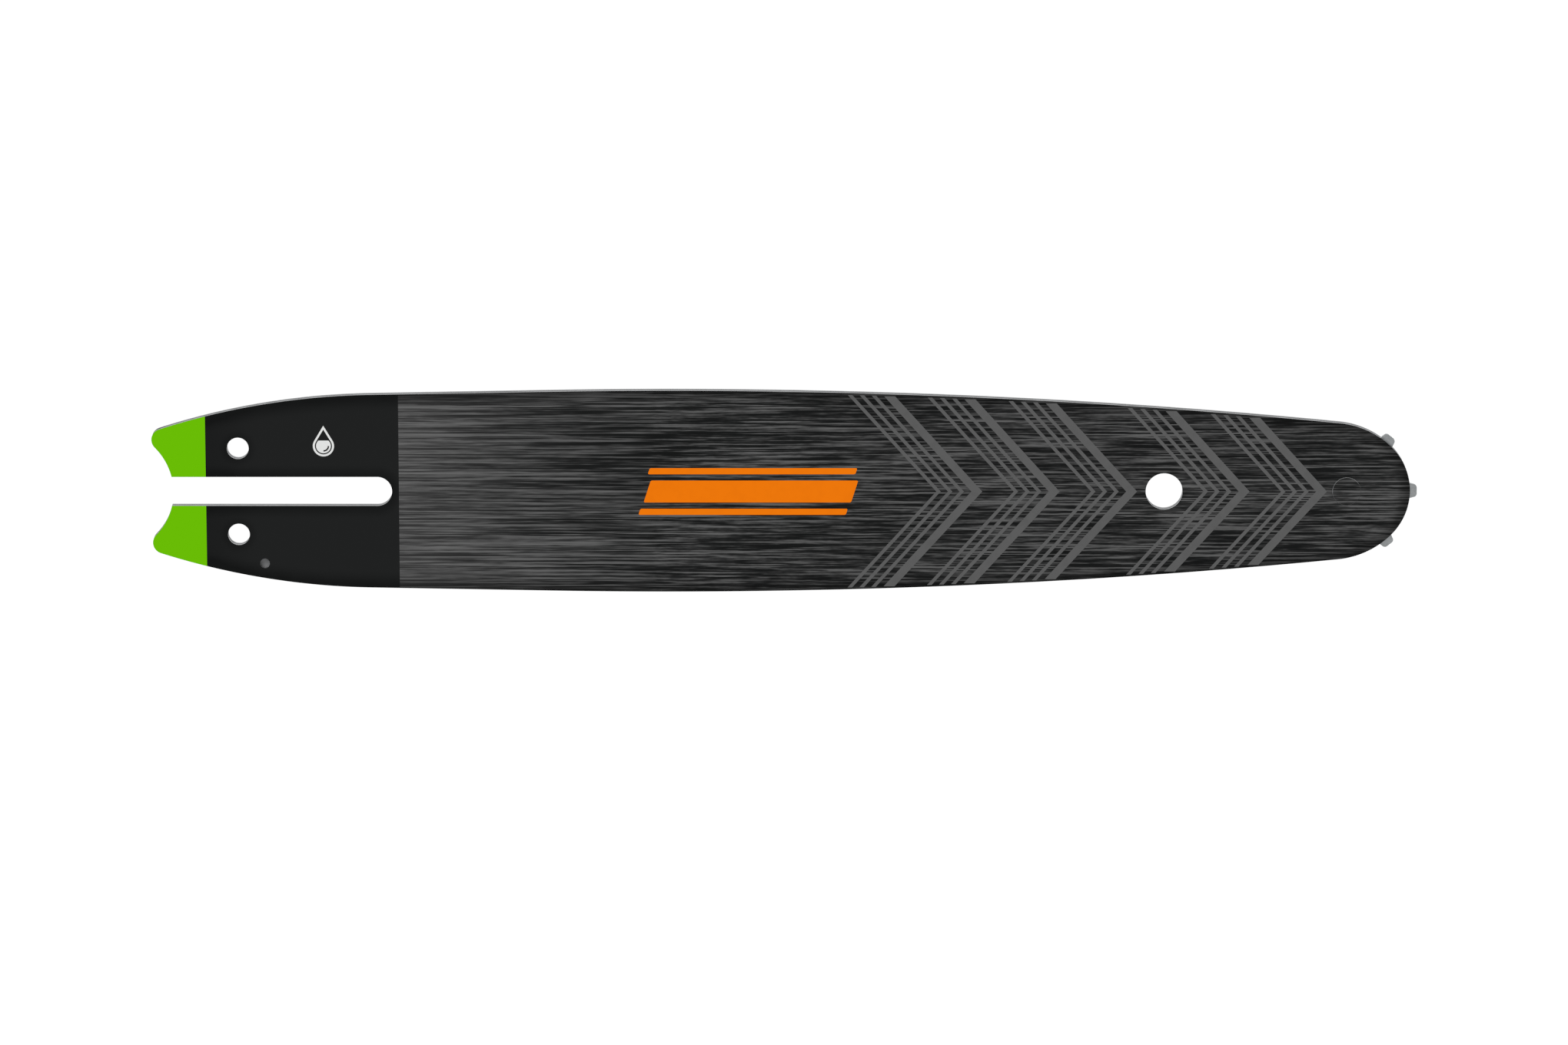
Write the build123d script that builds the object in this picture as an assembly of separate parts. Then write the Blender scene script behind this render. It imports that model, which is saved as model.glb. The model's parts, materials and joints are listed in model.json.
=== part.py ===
from build123d import *

import math
import os

# Laminated chainsaw guide bar with a sprocket nose, lying on its back face.
# The origin is on that face, at the centre of the stud slot's round end.
# +X runs to the nose, +Y across the bar and +Z out of the front face. Millimetres, degrees.

# Outline of the side plates
tail_reach = 64.0  # from the slot's end centre back to the tips of the tail horns
sprocket_reach = 275.6  # from the slot's end centre forward to the sprocket axis
bar_height = 58.4  # across the belly, the widest place
belly_reach = 83.0  # from the slot's end centre forward to the belly
flank_angle = 1.0  # slope of the straight flank behind the belly
tail_arc_radius = 205.0
horn_radius = 3.2
horn_spacing = 29.9  # between the centres of the two horns' round ends
drive_relief_radius = 18.3  # of the hollow between the horns, which clears the drive sprocket
nose_radius = 18.0
nose_half_angle = 45.0  # from the bar's axis to the end of the nose arc
shoulder_radius = 24.5  # of the arc that joins the nose arc to the flank

# Laminations
side_plate_thickness = 1.05
groove_width = 1.1
groove_depth = 5.5
edge_break = 0.12
core_hole_relief = 0.15  # by which the core's holes and slot stand back from the side plates'
mouth_flare = 0.3  # by which each horn's inner face is ground away where the chain runs in

# Saw mount, oil inlet and hanging hole
slot_width = 8.4
tension_hole_diameter = 6.2
tension_hole_setback = 39.5  # from the slot's end centre back to the two holes
tension_hole_spacing = 25.0
oil_hole_diameter = 2.8
oil_hole_setback = 32.2  # from the slot's end centre back to the hole
oil_hole_depth = 4.2  # from the rail to the hole's centre
hanging_hole_diameter = 10.5
hanging_hole_setback = 51.9  # from the sprocket axis back to the hole

# Weight-saving windows in the core
window_rim = 6.5  # of core left along the groove's floor
window_end_land = 12.0  # of core left at the slot's end and behind the hanging hole
window_rib = 8.0
window_longest = 34.0
window_corner_radius = 4.0

# Nose sprocket and its roller bearing
tooth_count = 7
tooth_tip_radius = 20.0
tooth_tip_width = 3.25
tooth_flank_angle = 14.0  # of each flank to the tooth's own axis
tooth_corner_radius = 1.0
sprocket_root_radius = 12.6
sprocket_root_fillet = 1.5
sprocket_pocket_clearance = 0.8  # between the tooth tips and the core
race_radius = 5.2
hub_spigot_radius = 4.1
hub_fit_clearance = 0.01
roller_diameter = 2.4
roller_gap = 0.06  # least gap between neighbouring rollers
running_clearance = 0.02  # radial, on each side of a roller
side_clearance = 0.05  # between the sprocket or a roller and each side plate

# Places that follow from the sizes above
bar_thickness = 2 * side_plate_thickness + groove_width
middle_z = bar_thickness / 2
front_plate_z = bar_thickness - side_plate_thickness
sprocket_axis = Vector(sprocket_reach, 0)
turning_thickness = groove_width - 2 * side_clearance
roller_pitch_radius = race_radius + running_clearance + roller_diameter / 2
sprocket_bore_radius = race_radius + roller_diameter + 2 * running_clearance
roller_pitch_half_angle = math.asin((roller_diameter + roller_gap) / 2 / roller_pitch_radius)
roller_count = math.floor(math.pi / roller_pitch_half_angle)


def polar(centre, radius, angle):
    """Point of a circle at an angle."""
    return centre + Vector(radius, 0).rotate(Axis.Z, angle)


def direction(start, end):
    """Angle of the line from one point to another."""
    run = end - start
    return math.degrees(math.atan2(run.Y, run.X))


def arc(centre, radius, start_angle, end_angle):
    """Arc of a circle between two angles."""
    middle_angle = (start_angle + end_angle) / 2
    return ThreePointArc(
        polar(centre, radius, start_angle),
        polar(centre, radius, middle_angle),
        polar(centre, radius, end_angle),
    )


# Upper half of the outline, from nose to tail: each arc or line is tangent to its neighbours
shoulder_centre = polar(sprocket_axis, nose_radius - shoulder_radius, nose_half_angle)
belly_rise = bar_height / 2 - shoulder_centre.Y
belly_run = shoulder_centre.X - belly_reach
belly_radius = (belly_run**2 + belly_rise**2 - shoulder_radius**2) / (2 * (belly_rise - shoulder_radius))
belly_centre = Vector(belly_reach, bar_height / 2 - belly_radius)
shoulder_angle = direction(belly_centre, shoulder_centre)
flank_normal = 90 + flank_angle
flank_front = polar(belly_centre, belly_radius, flank_normal)
horn_centre = Vector(horn_radius - tail_reach, horn_spacing / 2)
flank_back_way = polar(Vector(0, 0), 1, flank_normal + 90)
tail_start = polar(flank_front, -tail_arc_radius, flank_normal) - horn_centre
tail_along = tail_start.dot(flank_back_way)
tail_squared = tail_along**2 - tail_start.dot(tail_start) + (tail_arc_radius - horn_radius) ** 2
flank_length = -tail_along - math.sqrt(tail_squared)
tail_centre = horn_centre + tail_start + flank_back_way * flank_length
horn_angle = direction(tail_centre, horn_centre)
relief_offset = math.sqrt((drive_relief_radius + horn_radius) ** 2 - horn_centre.Y**2)
relief_centre = Vector(horn_centre.X - relief_offset, 0)
relief_angle = direction(relief_centre, horn_centre)


def rail(inset):
    """Belly arc, flank and tail arc of the upper rail, moved inwards."""
    belly = arc(belly_centre, belly_radius - inset, shoulder_angle, flank_normal)
    tail = arc(tail_centre, tail_arc_radius - inset, flank_normal, horn_angle)
    flank = Line(belly @ 1, tail @ 0)
    return [belly, flank, tail]


def face_of_upper_half(curves):
    """Face inside the upper half of an outline and its mirror image."""
    upper = Curve() + curves
    return make_face(upper + mirror(upper, about=Plane.XZ))


def face_between_rails(inset):
    """Face between the two rails, moved inwards and closed by straight ends."""
    curves = rail(inset)
    nose_end = curves[0] @ 0
    tail_end = curves[-1] @ 1
    nose_side = Line((nose_end.X, 0), nose_end)
    tail_side = Line(tail_end, (tail_end.X, 0))
    return face_of_upper_half([nose_side, *curves, tail_side])


def outline_face():
    """Outline of a side plate, with no holes."""
    nose = arc(sprocket_axis, nose_radius, 0, nose_half_angle)
    shoulder = arc(shoulder_centre, shoulder_radius, nose_half_angle, shoulder_angle)
    horn = arc(horn_centre, horn_radius, horn_angle, 180 + relief_angle)
    relief = arc(relief_centre, drive_relief_radius, relief_angle, 0)
    return face_of_upper_half([nose, shoulder, *rail(0), horn, relief])


def mount_cuts(relief):
    """Stud slot, tension holes and hanging hole, widened by a relief on every side."""
    slot_half = slot_width / 2 + relief
    slot = Rectangle(tail_reach, 2 * slot_half, align=(Align.MAX, Align.CENTER)) + Circle(slot_half)
    tension_hole = Circle(tension_hole_diameter / 2 + relief)
    tension_holes = [
        Pos(-tension_hole_setback, side * tension_hole_spacing / 2) * tension_hole for side in (1, -1)
    ]
    hanging_hole = Pos(sprocket_reach - hanging_hole_setback) * Circle(hanging_hole_diameter / 2 + relief)
    return [slot, *tension_holes, hanging_hole]


def oil_hole():
    """Oil inlet of the front plate, which opens into the lower groove."""
    depth_radius = tail_arc_radius - oil_hole_depth
    hole_run = -oil_hole_setback - tail_centre.X
    hole_y = tail_centre.Y + math.sqrt(depth_radius**2 - hole_run**2)
    return Pos(-oil_hole_setback, -hole_y) * Circle(oil_hole_diameter / 2)


def chain_mouth():
    """Wedge ground off a plate's inner face, from the horn tips to the core's tail end."""
    core_tail = polar(tail_centre, tail_arc_radius - groove_depth, horn_angle)
    wedge = Polygon(
        (-tail_reach, 0),
        (core_tail.X, 0),
        (-tail_reach, mouth_flare),
        align=None,
    )
    return extrude(Plane.XZ * wedge, bar_height, both=True)


def side_plate():
    """Stamped side plate, inner face down on the plane Z = 0."""
    face = outline_face() - mount_cuts(0) - oil_hole()
    plate = extrude(face, side_plate_thickness)
    plate = chamfer(plate.faces().sort_by(Axis.Z)[-1].edges(), edge_break)
    hub_hole = extrude(Circle(hub_spigot_radius + hub_fit_clearance), side_plate_thickness)
    return plate - Pos(sprocket_axis) * hub_hole - chain_mouth()


def core_windows():
    """Row of windows between the slot and the hanging hole, as long as the ribs let them be."""
    first_end = slot_width / 2 + window_end_land
    last_end = sprocket_reach - hanging_hole_setback - hanging_hole_diameter / 2 - window_end_land
    span = last_end - first_end + window_rib
    window_count = math.ceil(span / (window_longest + window_rib))
    pitch = span / window_count
    field = face_between_rails(groove_depth + window_rim)
    windows = []
    for index in range(window_count):
        middle_x = first_end + (index + 0.5) * pitch - window_rib / 2
        strip = Pos(middle_x) * Rectangle(pitch - window_rib, bar_height)
        columns = (field & strip).vertices().group_by(Axis.X)
        back = columns[0].sort_by(Axis.Y)
        front = columns[-1].sort_by(Axis.Y)
        window = Polygon(back[0], front[0], front[-1], back[-1], align=None)
        windows.append(fillet(window.vertices(), window_corner_radius))
    return windows


def core_plate():
    """Middle lamination: its edge is the floor of the chain groove."""
    relief = Pos(relief_centre) * Circle(drive_relief_radius)
    pocket = Pos(sprocket_axis) * Circle(tooth_tip_radius + sprocket_pocket_clearance)
    face = face_between_rails(groove_depth) - relief - pocket
    face = face - mount_cuts(core_hole_relief) - core_windows()
    return Pos(0, 0, side_plate_thickness) * extrude(face, groove_width)


def nose_sprocket():
    """Star sprocket with one tooth on the bar's axis, bored as the bearing's outer race."""
    flare = math.tan(math.radians(tooth_flank_angle))
    tip_half = tooth_tip_width / 2
    foot_half = tip_half + (tooth_tip_radius - sprocket_bore_radius) * flare
    tooth = Polygon(
        (tooth_tip_radius, tip_half),
        (sprocket_bore_radius, foot_half),
        (sprocket_bore_radius, -foot_half),
        (tooth_tip_radius, -tip_half),
        align=None,
    )
    teeth = [Rot(Z=index * 360 / tooth_count) * tooth for index in range(tooth_count)]
    star = Circle(sprocket_root_radius) + teeth
    tip_reach = math.hypot(tooth_tip_radius, tip_half)
    middle_reach = (tip_reach + sprocket_root_radius) / 2
    tips = [vertex for vertex in star.vertices() if Vector(vertex).length > middle_reach]
    star = fillet(tips, tooth_corner_radius)
    roots = [vertex for vertex in star.vertices() if Vector(vertex).length < middle_reach]
    star = fillet(roots, sprocket_root_fillet)
    sprocket = extrude(star - Circle(sprocket_bore_radius), turning_thickness / 2, both=True)
    return Pos(sprocket_reach, 0, middle_z) * sprocket


def hub_rivet():
    """Inner race with a spigot on each side, riveted flush into both side plates."""
    race = extrude(Circle(race_radius), groove_width / 2, both=True)
    spigot = extrude(Circle(hub_spigot_radius), bar_thickness / 2, both=True)
    hub = race + spigot
    rims = hub.edges().group_by(Axis.Z)
    hub = chamfer(rims[0] + rims[-1], edge_break)
    return Pos(sprocket_reach, 0, middle_z) * hub


def bearing_roller(index):
    """Roller of the full-complement bearing, at its place round the hub."""
    roller = extrude(Circle(roller_diameter / 2), turning_thickness / 2, both=True)
    centre = polar(sprocket_axis, roller_pitch_radius, index * 360 / roller_count)
    return Pos(centre.X, centre.Y, middle_z) * roller


def all_pieces():
    """Every piece of the bar by name."""
    front = Pos(0, 0, front_plate_z) * side_plate()
    turn_over = Pos(0, 0, bar_thickness) * Rot(X=180)
    pieces = {
        "front_side_plate": front,
        "back_side_plate": turn_over * front,
        "core_plate": core_plate(),
        "nose_sprocket": nose_sprocket(),
        "hub_rivet": hub_rivet(),
    }
    for index in range(roller_count):
        pieces[f"bearing_roller_{index + 1:02d}"] = bearing_roller(index)
    return pieces


os.makedirs("parts", exist_ok=True)
for name, piece in all_pieces().items():
    export_step(piece, f"parts/{name}.step")
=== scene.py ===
"""Dress a laminated chainsaw guide bar: printed faces, bare steel, ink marks, studio light and camera."""

import json
import logging
import math
from collections.abc import Callable, Sequence
from dataclasses import dataclass
from enum import Enum

import bpy
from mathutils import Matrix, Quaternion, Vector


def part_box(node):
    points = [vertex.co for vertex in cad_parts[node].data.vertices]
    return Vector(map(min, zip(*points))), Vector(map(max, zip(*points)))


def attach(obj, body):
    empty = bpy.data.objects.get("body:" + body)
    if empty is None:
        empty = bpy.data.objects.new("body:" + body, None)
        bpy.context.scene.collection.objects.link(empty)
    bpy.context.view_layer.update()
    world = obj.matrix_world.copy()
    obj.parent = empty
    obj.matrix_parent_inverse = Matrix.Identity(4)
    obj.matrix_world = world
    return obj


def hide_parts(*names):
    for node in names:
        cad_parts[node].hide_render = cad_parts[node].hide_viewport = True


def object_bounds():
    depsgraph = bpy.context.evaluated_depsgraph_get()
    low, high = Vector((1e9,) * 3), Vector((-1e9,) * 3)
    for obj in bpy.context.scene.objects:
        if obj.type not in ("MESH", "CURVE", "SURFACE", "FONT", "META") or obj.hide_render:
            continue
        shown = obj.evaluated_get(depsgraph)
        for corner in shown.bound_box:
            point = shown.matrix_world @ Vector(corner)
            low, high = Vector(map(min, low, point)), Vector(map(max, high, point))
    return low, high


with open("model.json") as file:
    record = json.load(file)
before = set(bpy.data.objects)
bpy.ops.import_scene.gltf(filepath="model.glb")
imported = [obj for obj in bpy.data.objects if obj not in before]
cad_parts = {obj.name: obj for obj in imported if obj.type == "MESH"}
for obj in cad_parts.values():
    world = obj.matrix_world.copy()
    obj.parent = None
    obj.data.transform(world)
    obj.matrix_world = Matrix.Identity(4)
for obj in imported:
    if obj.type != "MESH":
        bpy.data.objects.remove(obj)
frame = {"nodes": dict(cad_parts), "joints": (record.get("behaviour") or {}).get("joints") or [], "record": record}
CAD_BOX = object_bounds()

MM = 0.001
MICRON = 0.000001
MIDDLE = (CAD_BOX[0].z + CAD_BOX[1].z) / 2
EDGE_BREAK = 0.12 * MM
BAR_BODY = "bar"

Colour = tuple[float, float, float, float]
Place = tuple[float, float, float]

log = logging.getLogger("guide_bar")


class Grain(Enum):
    """Ways that tool lines run, as noise cells per metre along the bar, across it and through it."""

    ALONG = (50.0, 5000.0, 9000.0)
    THROUGH = (6000.0, 6000.0, 500.0)
    CLOUDY = (1800.0, 1800.0, 1800.0)


class Course(Enum):
    """Ways that a value rises from 0 to 1."""

    SMOOTH = "SMOOTHSTEP"
    STRAIGHT = "LINEAR"


def srgb(red: int, green: int, blue: int) -> Colour:
    """Turn a display colour into the linear colour that shaders take.

    Args:
        red: Red level, 0 to 255.
        green: Green level, 0 to 255.
        blue: Blue level, 0 to 255.

    Returns:
        The linear colour, opaque.
    """
    shares = [level / 255 for level in (red, green, blue)]
    linear = [s / 12.92 if s <= 0.04045 else ((s + 0.055) / 1.055) ** 2.4 for s in shares]
    return linear[0], linear[1], linear[2], 1.0


def polar(centre: Vector, radius: float, angle: float) -> Vector:
    """Point of a circle in the bar's plane."""
    return centre + radius * Vector((math.cos(angle), math.sin(angle), 0.0))


def heading(start: Vector, end: Vector) -> float:
    """Angle of the line from one point to another in the bar's plane."""
    return math.atan2(end.y - start.y, end.x - start.x)


def mount(name: str) -> dict:
    """Mount of the bar's record, by its name."""
    return next(entry for entry in frame["record"]["mounts"] if entry["name"] == name)


def mount_radius(name: str) -> float:
    """Radius of a mount's hole or slot end, in metres."""
    return mount(name)["dims"]["r_mm"] * MM


def sprocket_axis() -> Vector:
    """Place of the sprocket's axis in the bar's plane."""
    x, y, _ = frame["joints"][0]["pos_m"]
    return Vector((x, y, 0.0))


class Value:
    """Socket of a shader that takes part in Python expressions."""

    def __init__(self, shader: "Shader", socket: bpy.types.NodeSocket) -> None:
        """Keep the socket and the shader that it belongs to."""
        self.shader = shader
        self.socket = socket

    def math(self, operation: str, *terms: "Value | float") -> "Value":
        """Add a Math node that works on these terms."""
        return self.shader.node("ShaderNodeMath", {"operation": operation}, dict(enumerate(terms)))

    def __add__(self, other: "Value | float") -> "Value":
        """Sum of two values."""
        return self.math("ADD", self, other)

    def __radd__(self, other: float) -> "Value":
        """Sum of a number and a value."""
        return self.math("ADD", other, self)

    def __sub__(self, other: "Value | float") -> "Value":
        """Difference of two values."""
        return self.math("SUBTRACT", self, other)

    def __rsub__(self, other: float) -> "Value":
        """Difference of a number and a value."""
        return self.math("SUBTRACT", other, self)

    def __mul__(self, other: "Value | float") -> "Value":
        """Product of two values."""
        return self.math("MULTIPLY", self, other)

    def __rmul__(self, other: float) -> "Value":
        """Product of a number and a value."""
        return self.math("MULTIPLY", other, self)

    def __gt__(self, other: "Value | float") -> "Value":
        """Mask that is 1 where this value is the greater one."""
        return self.math("GREATER_THAN", self, other)

    def __lt__(self, other: "Value | float") -> "Value":
        """Mask that is 1 where this value is the smaller one."""
        return self.math("LESS_THAN", self, other)

    def __abs__(self) -> "Value":
        """Value without its sign."""
        return self.math("ABSOLUTE", self)

    def whole(self) -> "Value":
        """Whole number at or under this value."""
        return self.math("FLOOR", self)

    def root(self) -> "Value":
        """Square root of this value."""
        return self.math("SQRT", self)

    def least(self, other: "Value | float") -> "Value":
        """Smaller one of two values."""
        return self.math("MINIMUM", self, other)

    def most(self, other: "Value | float") -> "Value":
        """Greater one of two values."""
        return self.math("MAXIMUM", self, other)

    def ease(self, low: float, high: float, course: Course = Course.SMOOTH) -> "Value":
        """Turn this value into a rise from 0 at low to 1 at high."""
        sockets = {"Value": self, "From Min": low, "From Max": high}
        return self.shader.node("ShaderNodeMapRange", {"interpolation_type": course.value}, sockets)


@dataclass(frozen=True)
class Look:
    """Colour, roughness, metal share and fine relief over a surface."""

    colour: Value
    roughness: Value
    metal: "Value | float"
    relief: Value


class Shader:
    """Material with one Principled surface, and the nodes that feed it."""

    noise_roughness = 0.5
    row_step = 2.37
    row_detail = 4.0
    row_roughness = 0.6
    face_step = 900.0

    def __init__(self, name: str, constants: dict[str, "float | Colour"]) -> None:
        """Make the material.

        Args:
            name: Name of the material.
            constants: Values of the surface's own sockets that are the same all over.
        """
        self.material = bpy.data.materials.new(name)
        self.material.use_nodes = True
        self.tree = self.material.node_tree
        self.surface = self.tree.nodes["Principled BSDF"]
        for socket, value in constants.items():
            self.feed(self.surface.inputs[socket], value)

    def feed(self, socket: bpy.types.NodeSocket, value: "Value | float | Sequence[float]") -> None:
        """Link a value to a socket, or set the socket to a number or colour.

        Args:
            socket: Socket that is fed.
            value: Value, number or colour that feeds it.
        """
        if isinstance(value, Value):
            self.tree.links.new(value.socket, socket)
        else:
            socket.default_value = value

    def node(self, kind: str, settings: dict[str, object], sockets: dict[object, object],
             output: int | str = 0) -> Value:
        """Add a node.

        Args:
            kind: Type of the node.
            settings: Properties of the node, set first.
            sockets: Values or links of the node's inputs, by name or place.
            output: Output that is wanted, by name or place.

        Returns:
            The wanted output.
        """
        made = self.tree.nodes.new(kind)
        for name, setting in settings.items():
            setattr(made, name, setting)
        for name, value in sockets.items():
            self.feed(made.inputs[name], value)
        return Value(self, made.outputs[output])

    def place(self) -> Value:
        """Object coordinates of the point that is shaded."""
        return self.node("ShaderNodeTexCoord", {}, {}, "Object")

    def axes(self) -> tuple[Value, Value, Value]:
        """Split the place that is shaded into its distances.

        Returns:
            Distances along, across and through the bar, in metres.
        """
        place = self.place()
        x, y, z = (self.node("ShaderNodeSeparateXYZ", {}, {"Vector": place}, axis) for axis in "XYZ")
        return x, y, z

    def texture(self, vector: Value, detail: float, roughness: float) -> Value:
        """Add a noise texture.

        Args:
            vector: Place in the noise, a cell to a unit.
            detail: Number of finer layers.
            roughness: Weight of the finer layers.

        Returns:
            The noise, from 0 to 1.
        """
        sockets = {"Vector": vector, "Scale": 1.0, "Detail": detail, "Roughness": roughness}
        return self.node("ShaderNodeTexNoise", {"noise_dimensions": "3D"}, sockets)

    def noise(self, cells: Place, detail: float, start: float = 0.0) -> Value:
        """Add a noise that may be stretched.

        Args:
            cells: Noise cells per metre along each axis.
            detail: Number of finer layers.
            start: Shift of the pattern, so that two like noises differ.

        Returns:
            The noise, from 0 to 1.
        """
        sockets = {"Vector": self.place(), "Location": (start, start, start), "Scale": cells}
        vector = self.node("ShaderNodeMapping", {"vector_type": "POINT"}, sockets)
        return self.texture(vector, detail, self.noise_roughness)

    def clouds(self, cells: float, detail: float, start: float) -> Value:
        """Add a noise that is alike in every direction, with this many cells per metre."""
        return self.noise((cells, cells, cells), detail, start=start)

    def rows(self, run: Value, height: float, cells: float, start: float) -> Value:
        """Add a noise in straight rows along the bar, each row with stretches of its own.

        Args:
            run: Distance along the rows.
            height: Height of a row, in metres.
            cells: Noise cells per metre along the row.
            start: Shift of the pattern, so that two like patterns differ.

        Returns:
            The noise, from 0 to 1.
        """
        _, y, z = self.axes()
        row = (y * (1 / height) + start).whole()
        sockets = {"X": run * cells, "Y": row * self.row_step, "Z": z * self.face_step + start}
        vector = self.node("ShaderNodeCombineXYZ", {}, sockets)
        return self.texture(vector, self.row_detail, self.row_roughness)

    def mix(self, share: "Value | float", first: "Value | Colour", second: "Value | Colour") -> Value:
        """Mix two colours, all first at 0 and all second at 1."""
        return self.node("ShaderNodeMix", {"data_type": "RGBA"}, {0: share, 6: first, 7: second}, 2)

    def over(self, mask: Value, under: Look, top: Look) -> Look:
        """Lay one look over another.

        Args:
            mask: 1 where the top look covers the other.
            under: Look that is covered.
            top: Look that covers it.

        Returns:
            Both looks together.
        """
        rest = 1 - mask
        return Look(
            self.mix(mask, under.colour, top.colour),
            rest * under.roughness + mask * top.roughness,
            rest * under.metal + mask * top.metal,
            rest * under.relief + mask * top.relief,
        )

    def show(self, look: Look, relief_depth: float) -> bpy.types.Material:
        """Give the surface a look.

        Args:
            look: Look to show.
            relief_depth: Depth of the look's relief, in metres.

        Returns:
            The finished material.
        """
        bump = self.node("ShaderNodeBump", {}, {"Distance": relief_depth, "Height": look.relief})
        self.feed(self.surface.inputs["Base Color"], look.colour)
        self.feed(self.surface.inputs["Roughness"], look.roughness)
        self.feed(self.surface.inputs["Metallic"], look.metal)
        self.feed(self.surface.inputs["Normal"], bump)
        return self.material


@dataclass(frozen=True)
class Steel:
    """Bare steel with tool lines and an uneven sheen."""

    name: str
    light: Colour
    dark: Colour
    roughness: float
    grain: Grain
    metal: float = 1.0
    line_depth: float = 4 * MICRON
    line_share: float = 0.65
    cloud_cells: float = 260.0
    tone_range: tuple[float, float] = (0.32, 0.66)
    sheen_spread: float = 0.2

    def look(self, shader: Shader) -> Look:
        """Tool lines and clouds in the steel.

        Args:
            shader: Shader that the nodes are added to.

        Returns:
            The steel's look.
        """
        lines = shader.noise(self.grain.value, detail=3)
        clouds = shader.clouds(self.cloud_cells, detail=2, start=3.0)
        tone = (self.line_share * lines + (1 - self.line_share) * clouds).ease(*self.tone_range)
        rough = self.roughness - self.sheen_spread / 2 + self.sheen_spread * clouds
        return Look(shader.mix(tone, self.dark, self.light), rough, self.metal, lines)

    def material(self) -> bpy.types.Material:
        """Material of a piece that is steel all over."""
        shader = Shader(self.name, {})
        return shader.show(self.look(shader), self.line_depth)


@dataclass(frozen=True)
class Ink:
    """Opaque screen ink, a little uneven where the mesh of the screen left it."""

    name: str
    colour: Colour
    thin_colour: Colour
    roughness: float = 0.5
    sheen_spread: float = 0.12
    gloss: float = 0.06
    pigment_cells: float = 300.0
    pigment_range: tuple[float, float] = (0.3, 0.6)
    peel_cells: float = 3000.0
    peel_depth: float = 2 * MICRON

    def material(self) -> bpy.types.Material:
        """Make the finish of an ink film.

        Returns:
            Ink that lies thinner in places.
        """
        shader = Shader(self.name, {"Specular IOR Level": self.gloss})
        pigment = shader.clouds(self.pigment_cells, detail=3, start=5.0)
        peel = shader.clouds(self.peel_cells, detail=1, start=9.0)
        colour = shader.mix(pigment.ease(*self.pigment_range), self.thin_colour, self.colour)
        rough = self.roughness - self.sheen_spread / 2 + self.sheen_spread * pigment
        return shader.show(Look(colour, rough, 0.0, peel), self.peel_depth)


@dataclass(frozen=True)
class StreakRows:
    """Rows of one height in the streaks: share of the tone, height, cells per metre and shift."""

    share: float
    height: float
    cells: float
    start: float


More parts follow.
